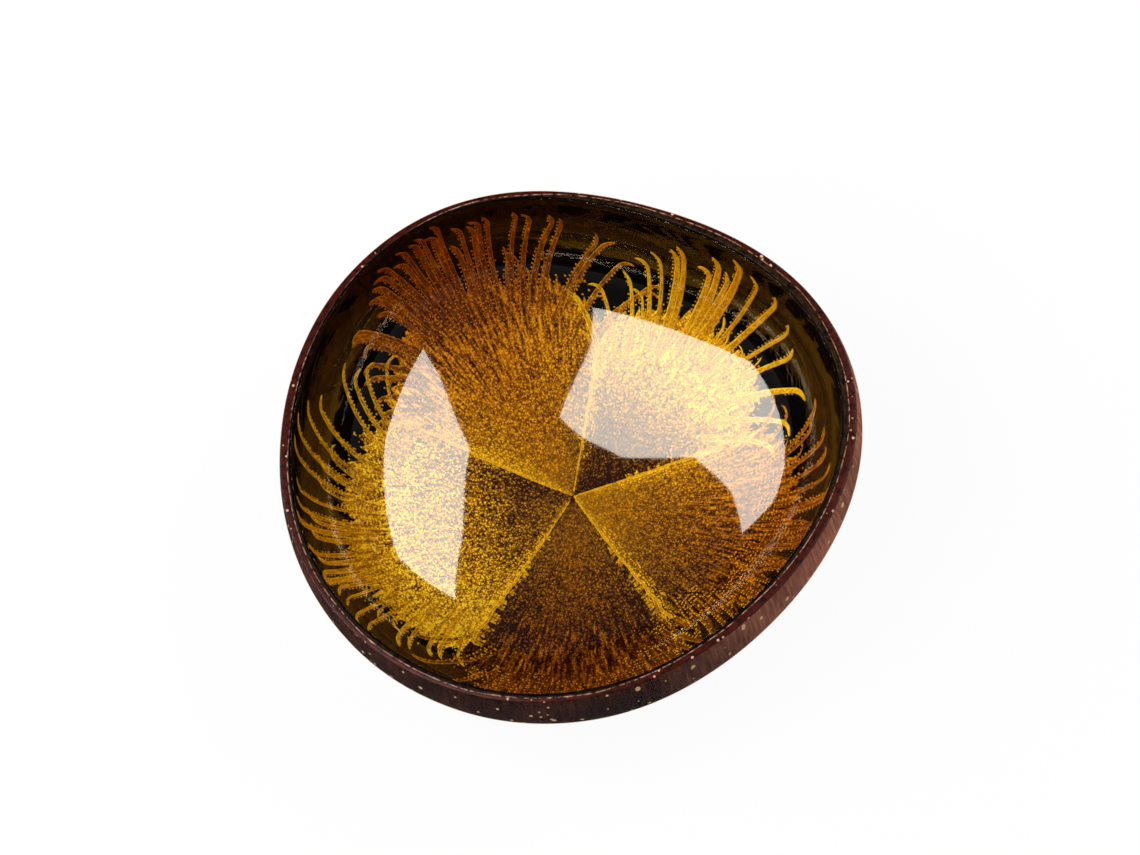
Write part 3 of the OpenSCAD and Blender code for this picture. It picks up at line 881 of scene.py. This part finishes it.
# Each pour is yellower towards its seams.
flank_yellow = 0.42
for k, form in enumerate(pours):
    gold = draw_pour(k)
    pour = new_piece(f"gold_pour_{k + 1}_visual", gold.points, gold.faces)
    start, end = pour_seams[k], pour_seams[k + 1]
    middle, half = (start + end) / 2, (end - start) / 2
    redness = []
    for point in gold.points:
        turn = math.atan2(point.y - middle_y, point.x - middle_x)
        off = abs((turn - middle + math.pi) % (2 * math.pi) - math.pi)
        redness.append(form["red"] - flank_yellow * min(1, off / half) ** 2)
    amounts = {
        "paint": gold.paint,
        "grain": [form["grain"] * share for share in gold.grain],
        "drawn": [form["drawn"]] * len(gold.points),
        "red": redness,
    }
    for name, values in amounts.items():
        layer = pour.data.attributes.new(name, "FLOAT", "POINT")
        layer.data.foreach_set("value", values)
    pour.data.materials.append(gold_paint)
    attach(pour, "root")
    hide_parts(f"gold_pour_{k + 1}")

# Clear topcoat
# Thick clear lacquer, poured over the gold and the black and left to level.
# Its surface is smooth but for slow waves, so it mirrors the lights, and it ran thin at the rim.

clear_top = ground_coat + gold_coat + 0.6 * MM
clear_seat = 0.06 * MM
edge_film, edge_reach, edge_turn = 0.05 * MM, 4 * MM, 0.003
wave_height, wave_length = 0.05 * MM, 17 * MM


def clear_point(turn, angle):
    """Point of the lacquer's surface, with the slow waves that levelling leaves."""
    spot = cavity_point(turn, angle, 0)
    wave = wave_height * noise.noise(spot / wave_length)
    down = min(1.0, (rim_height - spot.z) / edge_reach)
    thin = ground_coat + edge_film
    return cavity_point(turn, angle, thin + (clear_top - thin) * down * (2 - down) + wave * down)


clear_angles = cavity_angles[1:-1] + [rim_angle - edge_turn, rim_angle]
clear_rings = (
    [[cavity_point(0, bottom, ground_coat - clear_seat)]]
    + [[cavity_point(turn, angle, ground_coat - clear_seat) for turn in turns] for angle in clear_angles]
    + [[clear_point(turn, angle) for turn in turns] for angle in clear_angles[::-1]]
    + [[clear_point(0, bottom)]]
)

# Clear lacquer: a wet, deep gloss with a faint amber tint, which mirrors less towards the rim.
lacquer_tint, gloss_tint = srgb("fffaf0"), srgb("fffaee")
lacquer_mirror, lacquer_graze = 0.108, 0.17
full_below, least_above, rim_share = 27 * MM, 40 * MM, 0.4

clear_lacquer, tree, output = new_material("clear lacquer")
gloss = add(tree, "BsdfGlossy", {"Color": gloss_tint, "Roughness": 0.045})
see_through = add(tree, "BsdfTransparent", {"Color": lacquer_tint})
facing = add(tree, "Fresnel", {"IOR": clear_ior})
mirror = add(tree, "MapRange", {0: facing.outputs[0], 1: straight_on, 2: 1.0,
                                3: lacquer_mirror, 4: lacquer_graze})
side = add(tree, "NewGeometry")
front = add(tree, "Math", {0: 1.0, 1: side.outputs["Backfacing"]}, operation="SUBTRACT")
place = add(tree, "TexCoord").outputs["Object"]
apart = add(tree, "SeparateXYZ", {0: place})
full = add(tree, "MapRange", {0: apart.outputs[2], 1: full_below, 2: least_above, 3: 1.0, 4: rim_share})
glossy = add(tree, "Math", {0: full.outputs[0], 1: front.outputs[0]}, operation="MULTIPLY")
share = add(tree, "Math", {0: mirror.outputs[0], 1: glossy.outputs[0]}, operation="MULTIPLY")
coat = add(tree, "MixShader", {0: share.outputs[0], 1: see_through.outputs[0], 2: gloss.outputs[0]})
tree.links.new(coat.outputs[0], output.inputs[0])

clear_topcoat = lofted("clear_topcoat_visual", clear_rings)
clear_topcoat.data.materials.append(clear_lacquer)
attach(clear_topcoat, "root")
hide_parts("clear_topcoat")

# Floor
# A plain white studio sweep. Rays from the camera and from gloss see it as white paper, and it keeps
# the bowl's shadow.

floor_half = 3.0
floor_ways = ((-1, -1), (1, -1), (1, 1), (-1, 1))
floor_corners = [Vector((x * floor_half, y * floor_half, 0)) for x, y in floor_ways]
floor = new_piece("floor", floor_corners, [(0, 1, 2, 3)])

# White paper: matt, and lit evenly enough to show as white, with a little of the shadow left.
paper_white, paper_lit = srgb("e8e8e8"), 0.94

white_paper, tree, output = new_material("white paper")
path = add(tree, "LightPath")
looked_at = add(tree, "Math", {0: path.outputs["Is Camera Ray"], 1: path.outputs["Is Glossy Ray"]},
                operation="MAXIMUM")
seen = add(tree, "Math", {0: looked_at.outputs[0], 1: path.outputs["Is Transmission Ray"]},
           operation="MAXIMUM")
matt = add(tree, "BsdfDiffuse", {"Color": paper_white})
lit = add(tree, "Emission", {"Color": (1, 1, 1, 1), "Strength": 1.0})
share = add(tree, "Math", {0: seen.outputs[0], 1: paper_lit}, operation="MULTIPLY")
sheet = add(tree, "MixShader", {0: share.outputs[0], 1: matt.outputs[0], 2: lit.outputs[0]})
tree.links.new(sheet.outputs[0], output.inputs[0])
floor.data.materials.append(white_paper)

# Lights
# Two large softboxes, one on each side, and a pale room that is darker overhead.

box_distance, box_strength = 1.0, 4.4
right_outline = [(-.68, .03), (-.44, .21), (0, .39), (.38, .24), (.80, .01), (.45, -.23), (-.13, -.17)]
left_outline = [(-.75, .03), (-.41, .28), (-.04, .67), (.2, .52), (.31, .18), (.68, -.01),
                (1.22, -.2), (1.1, -.46), (.79, -.52), (-.15, -.5), (-.41, -.24)]


def softbox(name, towards, level, rise_way, outline):
    """A glowing panel at a distance from the bowl, with its outline given in shares of that distance."""
    centre = Vector(towards).normalized() * box_distance
    level, rise_way = Vector(level), Vector(rise_way)
    points = [centre + (level * a + rise_way * b) * box_distance for a, b in outline]
    panel = new_piece(name, points, [tuple(range(len(points)))])
    glow, tree, output = new_material(name)
    light = add(tree, "Emission", {"Color": (1, 1, 1, 1), "Strength": box_strength})
    tree.links.new(light.outputs[0], output.inputs[0])
    panel.data.materials.append(glow)
    panel.visible_camera = False


softbox("softbox_right", towards=(0.68, 0.05, 0.73), level=(0, 1, 0), rise_way=(-0.73, 0, 0.68),
        outline=right_outline)
softbox("softbox_left", towards=(-0.62, 0, 0.78), level=(0, 1, 0), rise_way=(0.78, 0, 0.62),
        outline=left_outline)

room_low, room_high, room_strength = srgb("787878"), srgb("3c3c3c"), 0.75
world = bpy.data.worlds.new("studio")
bpy.context.scene.world = world
world.use_nodes = True
tree = world.node_tree
tree.nodes.clear()
place = add(tree, "TexCoord").outputs["Generated"]
apart = add(tree, "SeparateXYZ", {0: place})
room = add(tree, "ValToRGB", {0: apart.outputs[2]}, stops=[(0.0, room_low), (0.4, room_high)])
sky = add(tree, "Background", {"Color": room.outputs[0], "Strength": room_strength})
output = add(tree, "OutputWorld")
tree.links.new(sky.outputs[0], output.inputs[0])

# Camera
# It looks down at the bowl from the near side, turned a little. Lengths in the photo are in its pixels.

photo_width, photo_height = 1140, 855
bowl_x, bowl_y = 558.7, 434.9
focal_pixels = 3089
sensor_width = 36
view_elevation = math.radians(68)
view_roll = math.radians(15.2)
view_distance = 0.7

camera_data = bpy.data.cameras.new("camera")
camera_data.sensor_width = sensor_width
camera_data.lens = sensor_width * focal_pixels / photo_width
camera_data.shift_x = (photo_width / 2 - bowl_x) / photo_width
camera_data.shift_y = (bowl_y - photo_height / 2) / photo_width
camera = bpy.data.objects.new("camera", camera_data)
bpy.context.scene.collection.objects.link(camera)
back = Vector((0, -math.cos(view_elevation), math.sin(view_elevation)))
level_up = Vector((0, math.sin(view_elevation), math.cos(view_elevation)))
right = Vector((math.cos(view_roll), 0, 0)) - level_up * math.sin(view_roll)
up = Vector((math.sin(view_roll), 0, 0)) + level_up * math.cos(view_roll)
camera.matrix_world = Matrix((
    (right.x, up.x, back.x, back.x * view_distance),
    (right.y, up.y, back.y, back.y * view_distance),
    (right.z, up.z, back.z, back.z * view_distance + rim_height),
    (0, 0, 0, 1),
))
bpy.context.scene.camera = camera
bpy.context.scene.view_settings.view_transform = "Standard"
